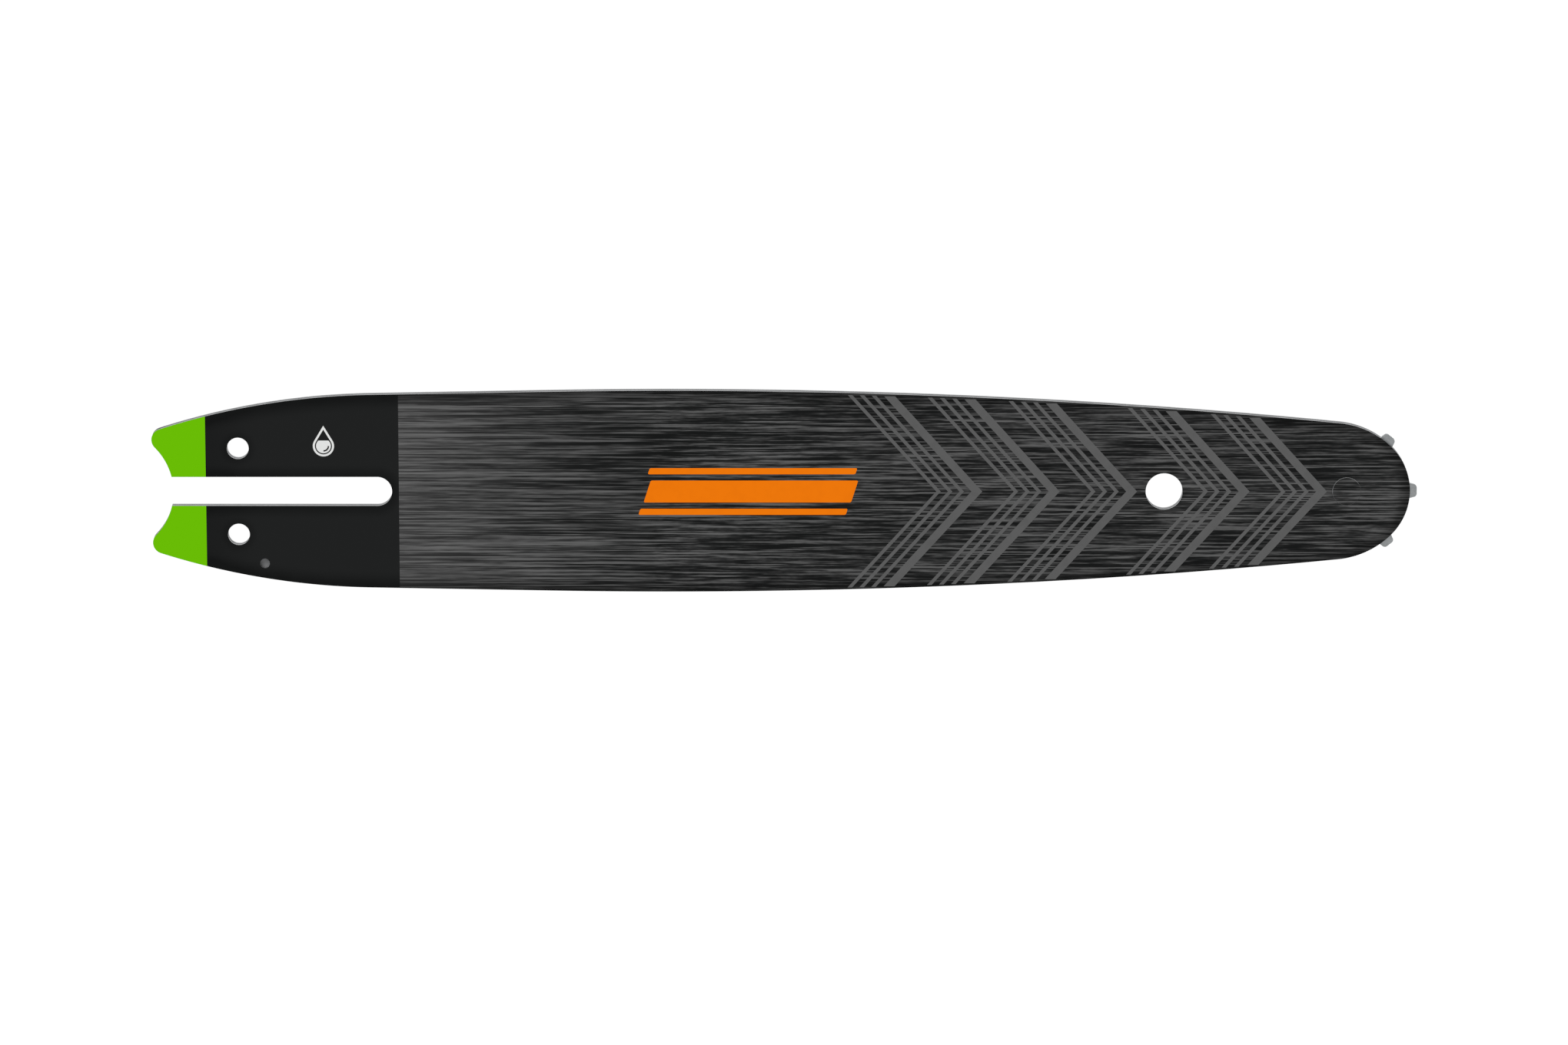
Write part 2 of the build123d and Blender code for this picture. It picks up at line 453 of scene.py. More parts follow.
@dataclass(frozen=True)
class PlatePrint:
    """Print of the plates' outer faces in three fields along the bar, with bare steel on every cut edge."""

    name: str
    outline: "PlateOutline"
    edge: Steel
    inside: Steel
    tail: Colour
    band: Colour
    # Colour of the band where shade is painted along its edges, the slot and the tension holes.
    band_painted_shade: Colour
    streak_dark: Colour
    streak_light: Colour
    streak_painted_shade: Colour
    haze_dark: Colour
    haze_light: Colour
    tail_border: float = -48.7 * MM
    band_border: float = 6.15 * MM
    # Widths and strengths of the band's painted shade along the rails and the slot, and of its darkening towards
    # the tail.
    edge_fade: float = 5.2 * MM
    slot_fade: float = 4.0 * MM
    slot_shade: float = 0.75
    tail_fade: float = 16.0 * MM
    tail_shade: float = 0.42
    haze_end: float = 78.0 * MM
    haze_stretch: float = 0.4
    streak_rows: tuple[StreakRows, ...] = (
        StreakRows(0.42, 0.31 * MM, 40.0, 0.0),
        StreakRows(0.22, 0.55 * MM, 32.0, 5.4),
        StreakRows(0.36, 0.24 * MM, 50.0, 9.7),
    )
    streak_range: tuple[float, float] = (0.44, 0.59)
    streak_thinning: float = 0.7
    # Width and strength of the streaks' painted shade along the rails and the nose.
    rim_width: float = 4.6 * MM
    rim_painted_shade: float = 0.6
    edge_break: float = EDGE_BREAK
    # Painted shade round the tension holes.
    halo_width: float = 2.6 * MM
    halo_shade: float = 0.45
    roughness: float = 0.5
    sheen_spread: float = 0.12
    gloss: float = 0.03
    pigment_cells: float = 160.0
    pigment_spread: float = 0.6
    peel_cells: float = 2600.0
    peel_depth: float = 3 * MICRON

    def rim(self, x: Value, y: Value) -> Value:
        """How near the rails and the nose a place is, where the streaks get painted shade.

        Args:
            x: Distance along the bar.
            y: Distance across the bar.

        Returns:
            1 on the edge, falling to 0 inside the bar.
        """
        nose = x - sprocket_axis().x
        run = x - self.outline.belly_reach
        rail = self.outline.bar_height / 2 - run * run * (0.5 / self.outline.belly_radius) - abs(y)
        body = rail.least(self.rim_width - nose)
        depth = body.most(self.outline.nose_radius - (nose * nose + y * y).root())
        return 1 - depth.ease(0.0, self.rim_width)

    def shade(self, x: Value, y: Value) -> Value:
        """Painted shade of the band towards its edges, the slot and the tension holes, and darkening towards the
        tail.

        Args:
            x: Distance along the bar.
            y: Distance across the bar.

        Returns:
            1 on the edges, falling to 0 inside the band.
        """
        rail = 1 - self.edge_depth(x, y).ease(0.0, self.edge_fade)
        past = x.most(0.0)
        slot_half = mount_radius("stud_slot")
        slot = 1 - (past * past + y * y).root().ease(slot_half, slot_half + self.slot_fade)
        radius = mount_radius("tension_hole_upper")
        hole_x, hole_y, _ = mount("tension_hole_upper")["pos_m"]
        run, rise = x - hole_x, abs(y) - hole_y
        halo = 1 - (run * run + rise * rise).root().ease(radius, radius + self.halo_width)
        tail = 1 - x.ease(self.tail_border, self.tail_border + self.tail_fade)
        return self.tail_shade * tail + rail.most(self.slot_shade * slot).most(self.halo_shade * halo)

    def edge_depth(self, x: Value, y: Value) -> Value:
        """How far inside the flanks and the tail arcs a place is.

        Args:
            x: Distance along the bar.
            y: Distance across the bar.

        Returns:
            The depth under the edge, in metres.
        """
        start = polar(self.outline.tail, self.outline.tail_radius, self.outline.flank)
        run = x - start.x
        bend = run.least(0.0)
        flank = start.y + math.tan(self.outline.flank_slope) * run
        return flank - bend * bend * (0.5 / self.outline.tail_radius) - abs(y)

    def streaks(self, shader: Shader, x: Value, y: Value) -> Value:
        """Brushed streaks along the bar, hazy towards the tail, with painted shade along the rails and the nose.

        Args:
            shader: Shader that the nodes are added to.
            x: Distance along the bar.
            y: Distance across the bar.

        Returns:
            The streaks' colour.
        """
        fade = 1 - x.ease(self.band_border, self.haze_end, Course.STRAIGHT)
        haze = fade * fade
        run = x - self.haze_stretch * (x - self.haze_end).least(0.0)
        first, *others = (row.share * shader.rows(run, row.height, row.cells, row.start)
                          for row in self.streak_rows)
        lines = sum(others, first).ease(*self.streak_range)
        thinning = self.streak_thinning
        tone = lines * (1 - thinning + thinning * fade + thinning * (1 - fade) * lines)
        ground = shader.mix(haze, self.streak_dark, self.haze_dark)
        line = shader.mix(haze, self.streak_light, self.haze_light)
        colour = shader.mix(tone, ground, line)
        # Painted shade along the rails and the nose.
        return shader.mix(self.rim_painted_shade * self.rim(x, y), colour, self.streak_painted_shade)

    def look(self, shader: Shader) -> Look:
        """Three fields of print.

        Args:
            shader: Shader that the nodes are added to.

        Returns:
            The print's look, without the bare edges.
        """
        x, y, _ = shader.axes()
        pigment = shader.clouds(self.pigment_cells, detail=3, start=11.0)
        peel = shader.clouds(self.peel_cells, detail=1, start=13.0)
        uneven = 1 - self.pigment_spread / 2 + self.pigment_spread * pigment
        # The band turns to its painted shade colour near the rails, the slot and the tension holes, and darkens
        # towards the tail.
        band = shader.mix(self.shade(x, y) * uneven, self.band, self.band_painted_shade)
        print_colour = shader.mix(x > self.band_border, band, self.streaks(shader, x, y))
        colour = shader.mix(x < self.tail_border, print_colour, self.tail)
        rough = self.roughness - self.sheen_spread / 2 + self.sheen_spread * pigment
        return Look(colour, rough, 0.0, peel)

    def cover(self, shader: Shader, height: Value, top: float) -> Value:
        """Where the print lies.

        Args:
            shader: Not used here.
            height: Distance from the bar's middle plane.
            top: Height of the outer faces over that plane.

        Returns:
            1 on the outer faces and their broken edges.
        """
        return height > top - self.edge_break - MICRON

    def material(self) -> bpy.types.Material:
        """Material of a printed piece.

        Returns:
            Print on the outer faces, ground steel on the cut edges and raw steel inside.
        """
        shader = Shader(self.name, {"Specular IOR Level": self.gloss})
        height = abs(shader.axes()[2] - MIDDLE)
        groove_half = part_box("front_side_plate")[0].z - MIDDLE
        within = height < groove_half + MICRON
        bare = shader.over(within, self.edge.look(shader), self.inside.look(shader))
        cover = self.cover(shader, height, CAD_BOX[1].z - MIDDLE)
        return shader.show(shader.over(cover, bare, self.look(shader)), self.peel_depth)


@dataclass(frozen=True)
class HubPrint(PlatePrint):
    """Print of the hub's flush ends, left off the rim's broken edge towards the key lamp as a painted highlight in
    bare steel.
    """

    # Side of the rim towards the key lamp, where bare steel stands in for a highlight; a little is bared all
    # round.
    lit_side: float = math.radians(115.0)
    highlight_least: float = 0.25
    highlight_start: float = 0.2 * MM
    highlight_full: float = 1.8 * MM

    def cover(self, shader: Shader, height: Value, top: float) -> Value:
        """Where the print lies.

        Args:
            shader: Shader that the nodes are added to.
            height: Distance from the bar's middle plane.
            top: Height of the outer faces over that plane.

        Returns:
            1 on the flush ends, less on their broken edges towards the key lamp, where bare steel is a painted
            highlight.
        """
        x, y, _ = shader.axes()
        low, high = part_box("hub_rivet")
        across, up = math.cos(self.lit_side), math.sin(self.lit_side)
        towards = across * (x - (low.x + high.x) / 2) + up * (y - (low.y + high.y) / 2)
        flat = height > top - MICRON
        # Painted highlight: the print leaves the broken edge most on the side towards the key lamp.
        highlight = self.highlight_least + (1 - self.highlight_least) * towards.ease(self.highlight_start, self.highlight_full)
        return super().cover(shader, height, top) * (1 - (1 - flat) * highlight)


class Draft:
    """Flat outline on the bench, shaped by hand tools into a piece."""

    chord_gap = 2 * MICRON
    smooth_angle = math.radians(10.0)
    round_points = 96
    edge_segments = 3
    corner_segments = 5

    def __init__(self, name: str) -> None:
        """Take the object that was just added, and put its place into its mesh.

        Args:
            name: Name of the piece.
        """
        self.piece = bpy.context.object
        self.piece.name = name
        self.piece.data.name = name
        self.tip = Vector()
        bpy.ops.object.transform_apply(location=True, rotation=True, scale=True)

    @staticmethod
    def clear_bench() -> None:
        """Deselect every object."""
        bpy.ops.object.select_all(action="DESELECT")

    @classmethod
    def point(cls, name: str, place: Vector) -> "Draft":
        """Start a line at a single point, and stay in edit mode to draw it on.

        Args:
            name: Name of the piece.
            place: Place of the point.

        Returns:
            The point, as the pen's tip.
        """
        cls.clear_bench()
        bpy.ops.mesh.primitive_plane_add(size=MM, location=place)
        draft = cls(name)
        draft.tip = place.copy()
        draft.pick_all()
        bpy.ops.mesh.merge(type="CENTER")
        return draft

    def line(self, end: Vector) -> None:
        """Draw on in a straight line."""
        bpy.ops.mesh.extrude_region_move(TRANSFORM_OT_translate={"value": end - self.tip})
        self.tip = end.copy()

    def sweep(self, centre: Vector, turn: float) -> None:
        """Draw on along an arc.

        Args:
            centre: Centre of the arc; its height doesn't matter.
            turn: Angle of the arc, counterclockwise where positive.
        """
        arm = self.tip - centre
        step = 2 * math.acos(1 - self.chord_gap / arm.to_2d().length)
        steps = math.ceil(abs(turn) / step)
        bpy.ops.mesh.spin(steps=steps, angle=-turn, center=centre, axis=(0, 0, 1))
        arm.rotate(Quaternion((0, 0, 1), turn))
        self.tip = centre + arm

    def ring(self, centre: Vector, radius: float) -> None:
        """Add the edge of a round hole.

        Args:
            centre: Centre of the hole.
            radius: Radius of the hole.
        """
        bpy.ops.object.mode_set(mode="EDIT")
        bpy.ops.mesh.primitive_circle_add(vertices=self.round_points, radius=radius, location=centre)
        self.done()

    def fill(self) -> None:
        """Fill the outline round its holes, face up."""
        self.pick_all()
        bpy.ops.mesh.remove_doubles(threshold=MICRON)
        bpy.ops.mesh.fill()
        self.done()
        if self.piece.data.polygons[0].normal.z < 0:
            self.pick_all()
            bpy.ops.mesh.flip_normals()
            self.done()

    def break_edges(self, level: float, size: float, spare: Callable[[Vector], bool]) -> None:
        """Round off the edges of a flat face.

        Args:
            level: Height of the face.
            size: Width of the rounding.
            spare: Says of an edge's place whether it stays sharp.
        """
        self.pick(lambda point: abs(point.z - level) < MICRON)
        bpy.ops.mesh.select_mode(type="FACE")
        bpy.ops.mesh.region_to_loop()
        self.done()
        points = self.piece.data.vertices
        for edge in self.piece.data.edges:
            if edge.select and spare(points[edge.vertices[0]].co):
                edge.select = False
        bpy.ops.object.mode_set(mode="EDIT")
        bpy.ops.mesh.bevel(affect="EDGES", offset=size, segments=self.edge_segments, loop_slide=False)
        self.done()

    def smooth(self) -> None:
        """Shade round stretches smooth, and keep every true edge."""
        self.hold()
        bpy.ops.object.shade_smooth_by_angle(angle=self.smooth_angle)

    def hold(self) -> None:
        """Select this piece alone."""
        self.clear_bench()
        self.piece.select_set(True)
        bpy.context.view_layer.objects.active = self.piece

    @classmethod
    def rectangle(cls, name: str, low: Place, size: tuple[float, float]) -> "Draft":
        """Lay out a rectangle.

        Args:
            name: Name of the piece.
            low: Corner with the lowest coordinates.
            size: Length along the bar and height across it.

        Returns:
            The rectangle.
        """
        cls.clear_bench()
        centre = (low[0] + size[0] / 2, low[1] + size[1] / 2, low[2])
        bpy.ops.mesh.primitive_plane_add(size=1, location=centre)
        bpy.context.object.scale = (size[0], size[1], 1)
        return cls(name)

    @classmethod
    def disc(cls, name: str, centre: Place, radius: float) -> "Draft":
        """Lay out a round blank.

        Args:
            name: Name of the piece.
            centre: Centre of the disc.
            radius: Radius of the disc.

        Returns:
            The disc.
        """
        cls.clear_bench()
        points = cls.round_points
        bpy.ops.mesh.primitive_circle_add(vertices=points, radius=radius, fill_type="NGON", location=centre)
        return cls(name)

    def pick(self, test: Callable[[Vector], bool]) -> None:
        """Select the points that pass a test, and stay in edit mode.

        Args:
            test: Says of a point's place whether it is wanted.
        """
        bpy.ops.object.mode_set(mode="EDIT")
        bpy.ops.mesh.select_mode(type="VERT")
        bpy.ops.mesh.select_all(action="DESELECT")
        bpy.ops.object.mode_set(mode="OBJECT")
        for point in self.piece.data.vertices:
            point.select = test(point.co)
        bpy.ops.object.mode_set(mode="EDIT")

    def pick_all(self) -> None:
        """Select every point, and stay in edit mode."""
        self.pick(lambda point: True)

    def done(self) -> None:
        """Leave edit mode."""
        bpy.ops.object.mode_set(mode="OBJECT")

    def shift(self, test: Callable[[Vector], bool], move: Place) -> None:
        """Move some points.

        Args:
            test: Says of a point's place whether it moves.
            move: How far the points move along each axis.
        """
        self.pick(test)
        bpy.ops.transform.translate(value=move)
        self.done()

    def dissolve(self, test: Callable[[Vector], bool]) -> None:
        """Straighten a stretch of the outline.

        Args:
            test: Says of a point's place whether it goes.
        """
        self.pick(test)
        bpy.ops.mesh.dissolve_verts()
        self.done()

    def round_corners(self, radius: float) -> None:
        """Round every corner of the outline.

        Args:
            radius: How far along the sides the rounding starts.
        """
        self.pick_all()
        bpy.ops.mesh.bevel(affect="VERTICES", offset=radius, segments=self.corner_segments)
        self.done()

    def hollow(self, stroke: float) -> None:
        """Leave only a band along the outline.

        Args:
            stroke: Width of the band.
        """
        self.pick_all()
        bpy.ops.mesh.inset(thickness=stroke)
        bpy.ops.mesh.delete(type="FACE")
        self.done()

    def trim(self, place: Place, towards: Place) -> None:
        """Cut away what lies past a place.

        Args:
            place: Point that the cut goes through.
            towards: Direction of what is cut away, square to the cut.
        """
        self.pick_all()
        bpy.ops.mesh.bisect(plane_co=place, plane_no=towards, clear_outer=True)
        self.done()

    def apply(self, kind: str, settings: dict[str, object]) -> None:
        """Add a modifier and apply it.

        Args:
            kind: Type of the modifier.
            settings: Properties of the modifier.
        """
        self.hold()
        modifier = self.piece.modifiers.new(kind.lower(), kind)
        for name, setting in settings.items():
            setattr(modifier, name, setting)
        bpy.ops.object.modifier_apply(modifier=modifier.name)

    def mirror(self) -> None:
        """Add the other half across the bar's middle line."""
        self.apply("MIRROR", {"use_axis": (False, True, False), "merge_threshold": MICRON})

    def thicken(self, depth: float) -> None:
        """Give the outline a depth, upwards."""
        self.apply("SOLIDIFY", {"thickness": depth, "offset": 1.0})

    def join(self, others: Sequence["Draft"]) -> None:
        """Make one piece of this draft and others.

        Args:
            others: Drafts that go into this one.
        """
        self.clear_bench()
        for draft in (self, *others):
            draft.piece.select_set(True)
        bpy.context.view_layer.objects.active = self.piece
        bpy.ops.object.join()

    def turned_over(self, name: str) -> "Draft":
        """Copy the piece to the other face, turned half a turn about the bar's length.

        Args:
            name: Name of the copy.

        Returns:
            The copy, with its own mesh.
        """
        self.hold()
        bpy.ops.object.duplicate()
        bpy.ops.transform.rotate(value=math.pi, orient_axis="X", center_override=(0, 0, MIDDLE))
        return Draft(name)


def dress(piece: bpy.types.Object, material: bpy.types.Material) -> None:
    """Give a new piece its finish, and let it ride on the bar as a printed piece.

    Args:
        piece: The new piece.
        material: Finish of the piece.
    """
    piece.data.materials.clear()
    piece.data.materials.append(material)
    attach(piece, BAR_BODY)


@dataclass(frozen=True)
class PlateOutline:
    """Outline of a side plate, whose arcs and lines run into each other without a kink."""

    tail_reach: float = 64.0 * MM
    bar_height: float = 58.4 * MM
    belly_reach: float = 83.0 * MM
    flank_slope: float = math.radians(1.0)
    tail_radius: float = 205.0 * MM
    horn_radius: float = 3.2 * MM
    horn_spacing: float = 29.9 * MM
    relief_radius: float = 18.3 * MM
    nose_radius: float = 18.0 * MM
    nose_end: float = math.radians(45.0)
    shoulder_radius: float = 24.5 * MM

    @property
    def shoulder(self) -> Vector:
        """Centre of the arc between the nose and the belly."""
        return polar(sprocket_axis(), self.nose_radius - self.shoulder_radius, self.nose_end)

    @property
    def belly_radius(self) -> float:
        """Work out the long arc that touches the shoulder and is highest at the belly.

        Returns:
            The arc's radius.
        """
        rise = self.bar_height / 2 - self.shoulder.y
        run = self.shoulder.x - self.belly_reach
        return (run**2 + rise**2 - self.shoulder_radius**2) / (2 * (rise - self.shoulder_radius))

    @property
    def belly(self) -> Vector:
        """Centre of the long arc."""
        return Vector((self.belly_reach, self.bar_height / 2 - self.belly_radius, 0.0))

    @property
    def flank(self) -> float:
        """Angle at which the straight flank faces."""
        return math.pi / 2 + self.flank_slope

    @property
    def horn(self) -> Vector:
        """Centre of the upper horn's round end."""
        return Vector((self.horn_radius - self.tail_reach, self.horn_spacing / 2, 0.0))

    @property
    def tail(self) -> Vector:
        """Work out the tail arc, which touches the flank's line and the horn.

        Returns:
            The arc's centre.
        """
        backwards = polar(Vector(), 1.0, self.flank + math.pi / 2)
        start = polar(self.belly, self.belly_radius - self.tail_radius, self.flank)
        offset = start - self.horn
        along = offset.dot(backwards)
        reach = self.tail_radius - self.horn_radius
        return start - backwards * (along + math.sqrt(along**2 - offset.length_squared + reach**2))

    @property
    def relief(self) -> Vector:
        """Centre of the hollow between the horns, which clears the drive sprocket."""
        offset = math.sqrt((self.relief_radius + self.horn_radius) ** 2 - self.horn.y**2)
        return Vector((self.horn.x - offset, 0.0, 0.0))

    def rail(self, x: float) -> float:
        """Height of the long arc over the middle line, at a distance along the bar."""
        return self.belly.y + math.sqrt(self.belly_radius**2 - (x - self.belly.x) ** 2)

    def draw(self, name: str, level: float) -> Draft:
        """Draw the upper half from the nose to the slot's end, and mirror it.

        Args:
            name: Name of the piece.
            level: Height that the outline is drawn at.

        Returns:
            The closed outline.
        """
        slot_half = mount_radius("stud_slot")
        shoulder_end = heading(self.belly, self.shoulder)
        horn_start = heading(self.tail, self.horn)
        relief_start = heading(self.relief, self.horn)
        relief_end = math.asin(slot_half / self.relief_radius)
        up = Vector((0.0, 0.0, level))
        pen = Draft.point(name, polar(sprocket_axis(), self.nose_radius, 0.0) + up)
        pen.sweep(sprocket_axis(), self.nose_end)
        pen.sweep(self.shoulder, shoulder_end - self.nose_end)
        pen.sweep(self.belly, self.flank - shoulder_end)
        pen.line(polar(self.tail, self.tail_radius, self.flank) + up)
        pen.sweep(self.tail, horn_start - self.flank)
        pen.sweep(self.horn, math.pi + relief_start - horn_start)
        pen.sweep(self.relief, relief_end - relief_start)
        pen.line(Vector((0.0, slot_half, level)))
        pen.sweep(Vector(), -math.pi / 2)
        pen.done()
        pen.mirror()
        return pen


@dataclass
class SidePlates:
    """Front and back side plates, stamped alike and laid face to face on the core."""

    outline: PlateOutline
    material: bpy.types.Material
    edge_break: float = EDGE_BREAK
    hub_hole: float = 4.11 * MM
    mouth_flare: float = 0.3 * MM

    def beside_hub(self, point: Vector) -> bool:
        """Whether a point is on the hub's hole, whose edge stays sharp."""
        return (point - sprocket_axis()).to_2d().length < 2 * self.hub_hole

    def stamp(self, name: str, inner: float, outer: float) -> Draft:
        """Stamp the front plate with its holes, and round off its outer edges.

        Args:
            name: Name of the piece.
            inner: Height of the inner face.
            outer: Height of the outer face.

        Returns:
            The plate.
        """
        up = Vector((0.0, 0.0, inner))
        plate = self.outline.draw(name, inner)
        for entry in frame["record"]["mounts"]:
            if entry["kind"] == "bore" and entry["name"] != "oil_inlet_back":
                x, y, _ = entry["pos_m"]
                plate.ring(Vector((x, y, inner)), mount_radius(entry["name"]))
        plate.ring(sprocket_axis() + up, self.hub_hole)
        plate.fill()
        plate.thicken(outer - inner)
        plate.break_edges(outer, self.edge_break, self.beside_hub)
        return plate

    def grind_mouth(self, plate: Draft, inner: float) -> None:
        """Grind the horns' inner face away where the chain runs in.

        Args:
            plate: The front plate.
            inner: Height of its inner face.
        """
        core_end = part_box("core_plate")[0].x
        slope = math.atan2(self.mouth_flare, core_end + self.outline.tail_reach)
        plate.pick_all()
        bpy.ops.mesh.bisect(plane_co=(core_end, 0, 0), plane_no=(1, 0, 0))
        plate.done()
        plate.pick(lambda point: point.x < core_end + MICRON and point.z < inner + MICRON)
        bpy.ops.transform.rotate(value=-slope, orient_axis="Y", center_override=(core_end, 0, inner))
        plate.done()

    def build(self) -> list[bpy.types.Object]:
        """Make both plates.

        Returns:
            The front plate and the back plate.
        """
        inner, outer = (corner.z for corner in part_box("front_side_plate"))
        front = self.stamp("front_plate", inner, outer)
        self.grind_mouth(front, inner)
        front.smooth()
        back = front.turned_over("back_plate")
        for draft, node in ((front, "front_side_plate"), (back, "back_side_plate")):
            dress(draft.piece, self.material)
            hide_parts(node)
        return [front.piece, back.piece]


@dataclass
class InkMark:
    """Ink film that both faces of the bar carry."""

    name: str
    ink: Ink
    film: float = 0.03 * MM

    @property
    def level(self) -> float:
        """Height of the front face."""
        return CAD_BOX[1].z

    def draw(self) -> Draft:
        """Draw the mark on the front face; each kind of mark has its own drawing."""
        raise NotImplementedError

    def film_of(self, drafts: Sequence[Draft]) -> Draft:
        """Make one film of several flat drafts.

        Args:
            drafts: Drafts on the front face.

        Returns:
            The front face's film.
        """
        block, *rest = drafts
        block.join(rest)
        block.thicken(self.film)
        block.piece.name = self.name + "_front"
        return block

    def build(self) -> list[bpy.types.Object]:
        """Print the mark on both faces.

        Returns:
            The film on the front face and its copy on the back face.
        """
        front = self.draw()
        back = front.turned_over(self.name + "_back")
        pieces = [front.piece, back.piece]
        material = self.ink.material()
        for piece in pieces:
            dress(piece, material)
        return pieces


@dataclass
class OilDrop(InkMark):
    """Drop with a level in it, which says that the chain needs oil."""

    centre: tuple[float, float] = (-15.15 * MM, 13.22 * MM)
    radius: float = 3.02 * MM
    tip: float = 5.88 * MM
    stroke: float = 0.58 * MM
    fill_radius: float = 2.1 * MM
    fill_level: float = 1.55 * MM

    def draw(self) -> Draft:
        """Draw the drop's outline and the oil in it.

        Returns:
            The white film.
        """
        x, y = self.centre
        shoulder = y + self.radius**2 / self.tip
        drop = Draft.disc(self.name + "_front", (x, y, self.level), self.radius)
        top = y + self.radius - MICRON
        drop.dissolve(lambda point: shoulder < point.y < top)
        drop.shift(lambda point: point.y > top, (0, self.tip - self.radius, 0))
        drop.hollow(self.stroke)
        oil = Draft.disc(self.name + "_oil", (x, y, self.level), self.fill_radius)
        oil.trim((x, y + self.fill_level, self.level), (0, 1, 0))
        return self.film_of([drop, oil])


@dataclass(kw_only=True)
class OilGlint(InkMark):
    """Dark quarter ring on the oil in the drop."""

    drop: OilDrop
    radius: float = 1.62 * MM
    stroke: float = 0.4 * MM

    def draw(self) -> Draft:
        """Draw the quarter ring, low on the right.

        Returns:
            The dark film, on top of the white one.
        """
        x, y = self.drop.centre
        level = self.level + self.drop.film
        ring = Draft.disc(self.name + "_front", (x, y, level), self.radius)
        ring.hollow(self.stroke)
        ring.trim((x, y, level), (0, 1, 0))
        ring.trim((x, y, level), (-1, 0, 0))
        ring.thicken(self.film)
        return ring


@dataclass(frozen=True)
class Stripe:
    """One stripe with slanted ends: its lowest left corner, length and height."""

    left: float
    low: float
    length: float
    height: float


@dataclass
class StripeBlock(InkMark):
    """Plain stripes with slanted ends, on the middle of the bar."""

    stripes: tuple[Stripe, ...] = (
        Stripe(76.9 * MM, 5.0 * MM, 59.0 * MM, 1.8 * MM),
        Stripe(75.7 * MM, -3.2 * MM, 59.0 * MM, 6.4 * MM),
        Stripe(74.2 * MM, -6.8 * MM, 59.0 * MM, 1.8 * MM),
    )
    slant: float = 0.32
    corner: float = 0.45 * MM

    def draw(self) -> Draft:
        """Draw every stripe.

        Returns:
            The stripes as one film.
        """
        drafts = []
        for number, stripe in enumerate(self.stripes):
            low = (stripe.left, stripe.low, self.level)
            draft = Draft.rectangle(f"{self.name}_{number}", low, (stripe.length, stripe.height))
            middle = stripe.low + stripe.height / 2
            draft.shift(lambda point: point.y > middle, (self.slant * stripe.height, 0, 0))
            draft.round_corners(self.corner)
            drafts.append(draft)
        return self.film_of(drafts)


@dataclass(kw_only=True)
class Chevrons(InkMark):
    """Arrow lines that point to the nose, one broad line leading three thin ones."""

    outline: PlateOutline
    leaders: tuple[float, ...] = (172.0 * MM, 194.0 * MM, 216.0 * MM, 248.0 * MM, 270.0 * MM)
    broad: float = 2.3 * MM
    thin: float = 0.95 * MM
    thin_count: int = 3
    first_gap: float = 5.2 * MM
    pitch: float = 3.3 * MM
    sweep: float = 0.9
    margin: float = 0.5 * MM
    fitting_steps: int = 6

    def reach(self, tip: float) -> float:
        """How far an arm goes before it meets the rail.

        Args:
            tip: Place of the arrow's tip along the bar.

        Returns:
            Height of the arm's end over the middle line.
        """
        height = CAD_BOX[1].y
        for _ in range(self.fitting_steps):
            height = self.outline.rail(tip - self.sweep * height) - self.margin
        return height

    def arrow(self, name: str, tip: float, stroke: float) -> Draft:
        """Draw one arrow line.

        Args:
            name: Name of the draft.
            tip: Place of the tip along the bar.
            stroke: Width of the line.

        Returns:
            The arrow, both arms.
        """
        width = stroke * math.hypot(1, self.sweep)
        reach = self.reach(tip)
        draft = Draft.rectangle(name, (tip - width, 0, self.level), (width, reach))
        draft.shift(lambda point: point.y > reach / 2, (-self.sweep * reach, 0, 0))
        draft.mirror()
        return draft

    def draw(self) -> Draft:
        """Draw every group of lines.

        Returns:
            The arrows as one film.
        """
        drafts = []
        for number, leader in enumerate(self.leaders):
            drafts.append(self.arrow(f"{self.name}_{number}", leader, self.broad))
            for step in range(self.thin_count):
                tip = leader - self.first_gap - step * self.pitch
                drafts.append(self.arrow(f"{self.name}_{number}_{step}", tip, self.thin))
        return self.film_of(drafts)


@dataclass
class CarriedNodes:
    """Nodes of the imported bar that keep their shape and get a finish."""

    names: Sequence[str]
    material: bpy.types.Material

    def dress(self) -> list[bpy.types.Object]:
        """Give every node the finish.

        Returns:
            The dressed nodes.
        """
        nodes = [frame["nodes"][name] for name in self.names]
        for node in nodes:
            node.data.materials.clear()
            node.data.materials.append(self.material)
        return nodes


@dataclass(frozen=True)
class Lamp:
    """Soft square lamp that faces the bar."""

    name: str
    direction: Place
    distance: float
    side: float
    power: float

    def hang(self, target: Vector) -> None:
        """Hang the lamp.

        Args:
            target: Point that the lamp faces.
        """
        way = Vector(self.direction).normalized()
        turn = way.to_track_quat("Z", "Y").to_euler()
        bpy.ops.object.light_add(type="AREA", location=target + self.distance * way, rotation=turn)
        lamp = bpy.context.object
        lamp.name = self.name
        lamp.data.shape = "SQUARE"
        lamp.data.size = self.side
        lamp.data.energy = self.power


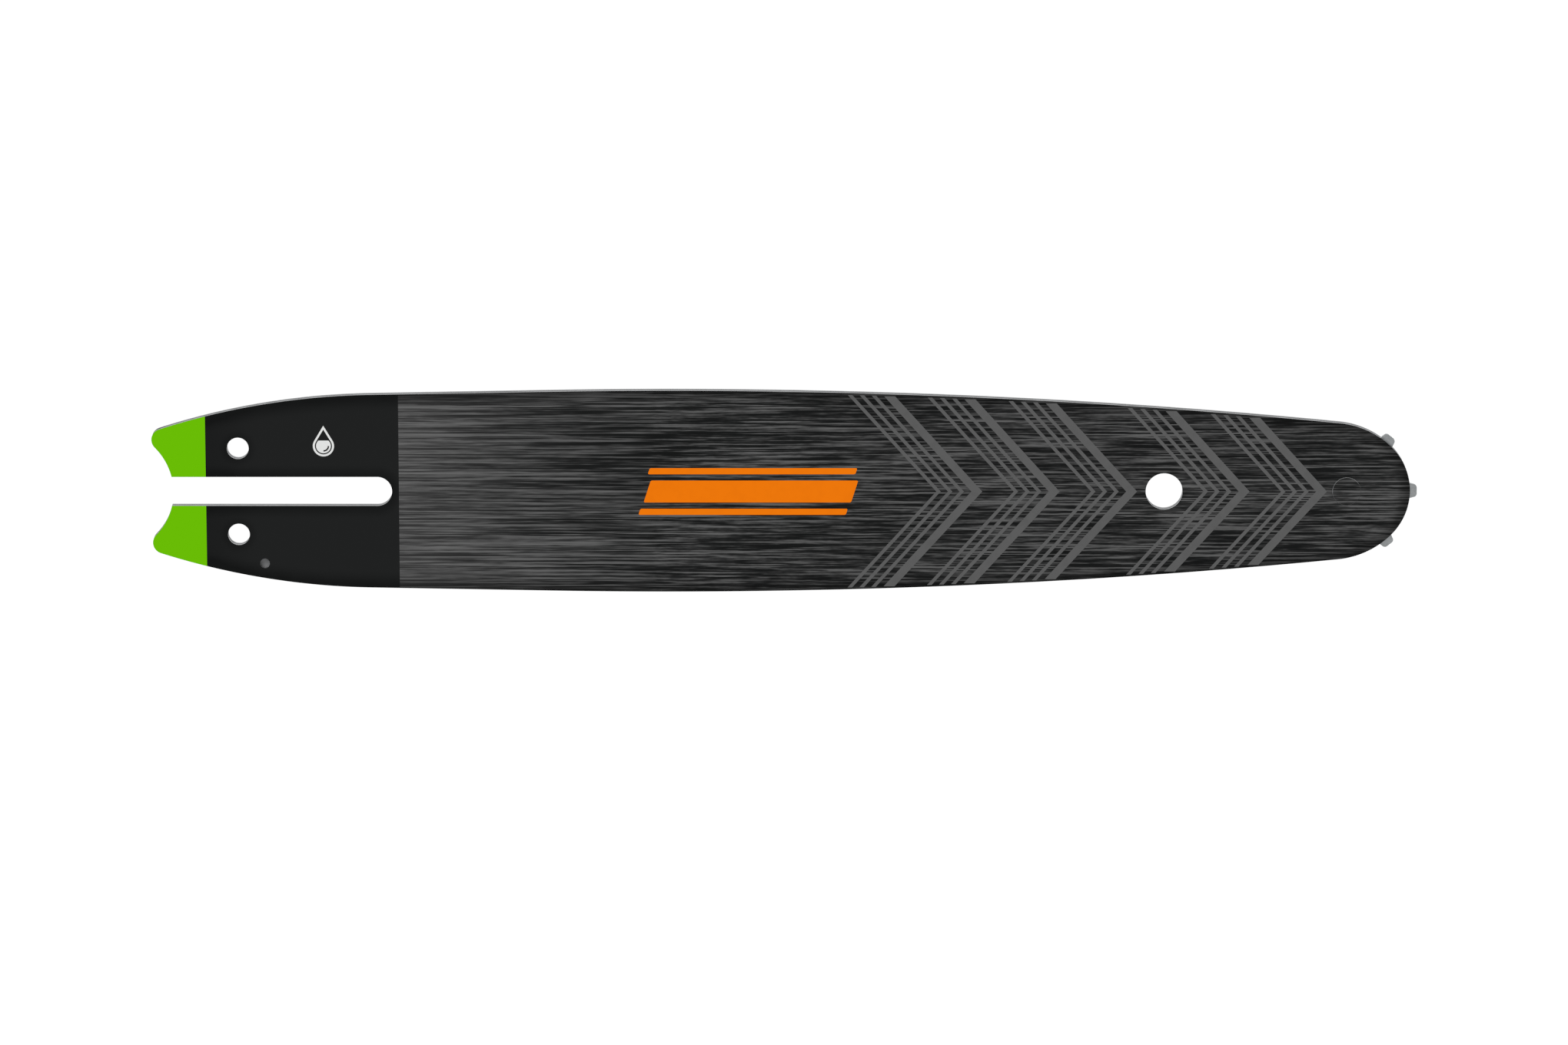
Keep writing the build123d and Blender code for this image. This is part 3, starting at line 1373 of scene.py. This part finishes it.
@dataclass
class Studio:
    """White floor, two soft lamps, a pale room and a camera over the bar."""

    target: Place = (115.63 * MM, -9.02 * MM, 3.2 * MM)
    camera_distance: float = 2.32
    camera_pitch: float = math.radians(12.3)
    lens_mm: float = 187.2
    sensor_mm: float = 36.0
    floor_size: float = 60.0
    floor_drop: float = 0.05 * MM
    floor_grey: float = 0.16
    floor_roughness: float = 0.9
    floor_lift: float = 0.94
    room_colour: Colour = (1.0, 1.0, 1.0, 1.0)
    room_level: float = 0.5
    lamps: tuple[Lamp, ...] = (
        Lamp("key_lamp", (-0.35, 0.65, 0.75), 2.2, 1.6, 23.0),
        Lamp("fill_lamp", (0.45, -0.7, 0.7), 2.2, 1.6, 13.5),
    )

    def lay_floor(self) -> None:
        """Lay a floor that is white to the eye and in the steel, and keeps the bar's shadow."""
        Draft.clear_bench()
        bpy.ops.mesh.primitive_plane_add(size=self.floor_size, location=(0, 0, -self.floor_drop))
        floor = bpy.context.object
        floor.name = "floor"
        grey = (self.floor_grey, self.floor_grey, self.floor_grey, 1.0)
        shader = Shader("white_floor", {"Base Color": grey, "Roughness": self.floor_roughness,
                                        "Specular IOR Level": 0.0, "Emission Strength": self.floor_lift})
        rays = [shader.node("ShaderNodeLightPath", {}, {}, ray)
                for ray in ("Is Camera Ray", "Is Glossy Ray", "Is Transmission Ray")]
        shader.feed(shader.surface.inputs["Emission Color"], rays[0] + rays[1] + rays[2])
        floor.data.materials.append(shader.material)

    def light(self) -> None:
        """Hang the lamps and set the pale room."""
        for lamp in self.lamps:
            lamp.hang(Vector(self.target))
        world = bpy.data.worlds.new("pale_room")
        world.use_nodes = True
        room = world.node_tree.nodes["Background"]
        room.inputs["Color"].default_value = self.room_colour
        room.inputs["Strength"].default_value = self.room_level
        bpy.context.scene.world = world

    def set_camera(self) -> None:
        """Look down on the bar, from a little towards its upper rail."""
        sine, cosine = math.sin(self.camera_pitch), math.cos(self.camera_pitch)
        eye = Vector(self.target) + self.camera_distance * Vector((0, sine, cosine))
        bpy.ops.object.camera_add(location=eye, rotation=(-self.camera_pitch, 0, 0))
        camera = bpy.context.object
        camera.data.lens = self.lens_mm
        camera.data.sensor_width = self.sensor_mm
        bpy.context.scene.camera = camera
        bpy.context.scene.view_settings.view_transform = "Standard"


def report(pieces: Sequence[bpy.types.Object]) -> None:
    """Log the name of each piece."""
    for piece in pieces:
        log.info("piece %s", piece.name)


def main() -> None:
    """Dress the bar, print its marks and set the studio."""
    logging.basicConfig(level=logging.INFO, format="%(message)s")

    edge_steel = Steel("edge_steel", srgb(174, 175, 176), srgb(134, 135, 136), 0.38, Grain.ALONG)
    raw_steel = Steel("raw_steel", srgb(172, 173, 174), srgb(150, 151, 152), 0.6, Grain.ALONG, metal=0.25)
    core_steel = Steel("core_steel", srgb(172, 173, 174), srgb(142, 143, 144), 0.5, Grain.ALONG)
    sprocket_steel = Steel("sprocket_steel", srgb(168, 171, 172), srgb(158, 161, 162), 0.42, Grain.CLOUDY)
    bearing_steel = Steel("bearing_steel", srgb(215, 216, 218), srgb(190, 191, 193), 0.18, Grain.THROUGH)
    inks = {
        "tail": srgb(107, 192, 0),
        "band": srgb(31, 32, 32), "band_painted_shade": srgb(19, 20, 20),
        "streak_dark": srgb(21, 22, 22), "streak_light": srgb(95, 95, 95), "streak_painted_shade": srgb(12, 12, 12),
        "haze_dark": srgb(54, 54, 54), "haze_light": srgb(104, 104, 104),
    }
    outline = PlateOutline()
    plate_print = PlatePrint("plate_print", outline, edge_steel, raw_steel, **inks)
    hub_print = HubPrint("hub_print", outline, raw_steel, raw_steel, **inks)
    rollers = sorted(name for name in frame["nodes"] if name.startswith("bearing_roller"))
    report(SidePlates(outline, plate_print.material()).build())
    report(CarriedNodes(["hub_rivet"], hub_print.material()).dress())
    report(CarriedNodes(["core_plate"], core_steel.material()).dress())
    report(CarriedNodes(["nose_sprocket"], sprocket_steel.material()).dress())
    report(CarriedNodes(rollers, bearing_steel.material()).dress())

    white = Ink("white_ink", srgb(229, 230, 229), srgb(226, 227, 226))
    black = Ink("black_ink", srgb(30, 31, 31), srgb(28, 29, 29))
    orange = Ink("orange_ink", srgb(242, 121, 0), srgb(239, 119, 0))
    grey = Ink("grey_ink", srgb(93, 93, 93), srgb(90, 90, 90))
    drop = OilDrop("oil_drop", white)
    report(drop.build())
    report(OilGlint("oil_glint", black, drop=drop).build())
    report(StripeBlock("stripe_block", orange).build())
    report(Chevrons("nose_chevrons", grey, outline=outline).build())

    studio = Studio()
    studio.lay_floor()
    studio.light()
    studio.set_camera()


if __name__ == "__main__":
    main()
